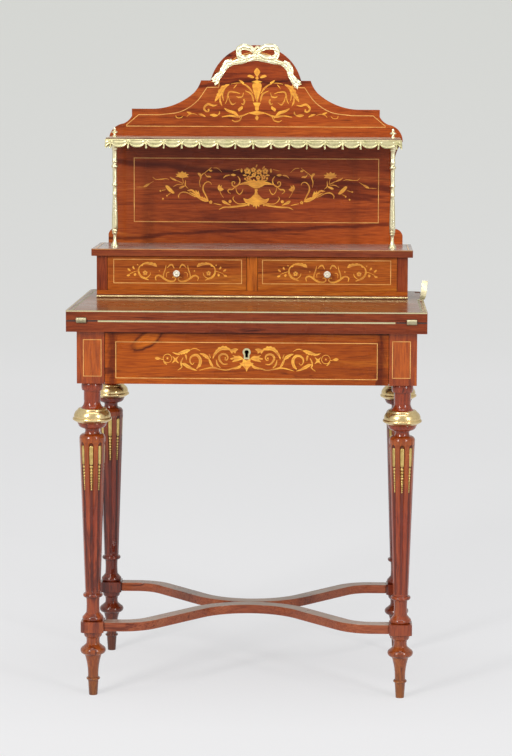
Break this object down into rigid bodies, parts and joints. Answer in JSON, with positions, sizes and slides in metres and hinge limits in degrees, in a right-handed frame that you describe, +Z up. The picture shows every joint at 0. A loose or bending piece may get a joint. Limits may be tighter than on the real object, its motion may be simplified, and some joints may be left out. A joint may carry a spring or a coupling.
{
  "type": "bonheur du jour writing desk",
  "caption": "Ladies' writing desk on turned fluted legs, with a fold-over leaf, a frieze drawer, and a superstructure with two drawers, a shelf on columns and an arched crest.",
  "frame": {"origin": "on the floor, under the middle of the whole desk's box", "axes": "+X to the right of a person who sits at the desk, +Y from the front to the back, +Z up"},
  "size_m": [0.7097, 0.4578, 1.2909],
  "materials": {
    "rosewood": "French polished veneer",
    "oak": "plain waxed carcass wood",
    "satinwood": "polished inlay",
    "brass": "gilt, softly worn",
    "leather": "smooth desk leather",
    "bone": "polished bone",
    "steel": "aged"
  },
  "bodies": {
    "root": {"leg_front_left": "rosewood", "leg_front_right": "rosewood", "leg_rear_left": "rosewood", "leg_rear_right": "rosewood", "leg_collar_front_left": "brass", "leg_collar_front_right": "brass", "leg_collar_rear_left": "brass", "leg_collar_rear_right": "brass", "flute_inlays": "brass", "stretcher_front": "rosewood", "stretcher_rear": "rosewood", "apron_left": "rosewood", "apron_right": "rosewood", "apron_back": "rosewood", "front_rail": "oak", "drawer_runners": "oak", "tabletop": "rosewood", "tabletop_leather": "leather", "tabletop_brass_fillet": "brass", "rear_deck": "rosewood", "deck_brass_banding": "brass", "loose_brass_strip": "brass", "hinge_table_plates": "brass", "hinge_pins": "steel", "hinge_table_screws": "steel", "case_bottom": "rosewood", "case_side_left": "rosewood", "case_side_right": "rosewood", "case_divider": "rosewood", "case_top": "rosewood", "case_top_stringing": "satinwood", "rope_moulding": "brass", "back_panel": "rosewood", "shelf": "rosewood", "gallery": "brass", "column_left": "brass", "column_right": "brass", "ribbon_bow": "brass"},
    "writing_leaf": {"writing_leaf": "rosewood", "leaf_leather": "leather", "leaf_brass_banding": "brass", "hinge_leaf_plates": "brass", "hinge_leaf_screws": "steel"},
    "frieze_drawer": {"drawer_front": "rosewood", "drawer_side_left": "oak", "drawer_side_right": "oak", "drawer_back": "oak", "drawer_bottom": "oak", "keyhole_escutcheon": "brass", "lock_case": "brass"},
    "left_drawer": {"left_drawer_front": "rosewood", "left_drawer_box": "oak", "left_drawer_bottom": "oak", "left_drawer_knob": "bone"},
    "right_drawer": {"right_drawer_front": "rosewood", "right_drawer_box": "oak", "right_drawer_bottom": "oak", "right_drawer_knob": "bone"},
    "lock_bolt": {"lock_bolt": "steel"}
  },
  "joints": [
    {"name": "leaf_fold", "type": "hinge", "parent": "root", "child": "writing_leaf", "pos_m": [0, -0.2263, 0.7507], "axis": [1, 0, 0], "range_deg": [0, 180]},
    {"name": "frieze_drawer_slide", "type": "slide", "parent": "root", "child": "frieze_drawer", "axis": [0, -1, 0], "range_m": [0, 0.28]},
    {"name": "left_drawer_slide", "type": "slide", "parent": "root", "child": "left_drawer", "axis": [0, -1, 0], "range_m": [0, 0.12]},
    {"name": "right_drawer_slide", "type": "slide", "parent": "root", "child": "right_drawer", "axis": [0, -1, 0], "range_m": [0, 0.12]},
    {"name": "lock_bolt_throw", "type": "slide", "parent": "frieze_drawer", "child": "lock_bolt", "axis": [0, 0, -1], "range_m": [-0.005, 0]}
  ]
}
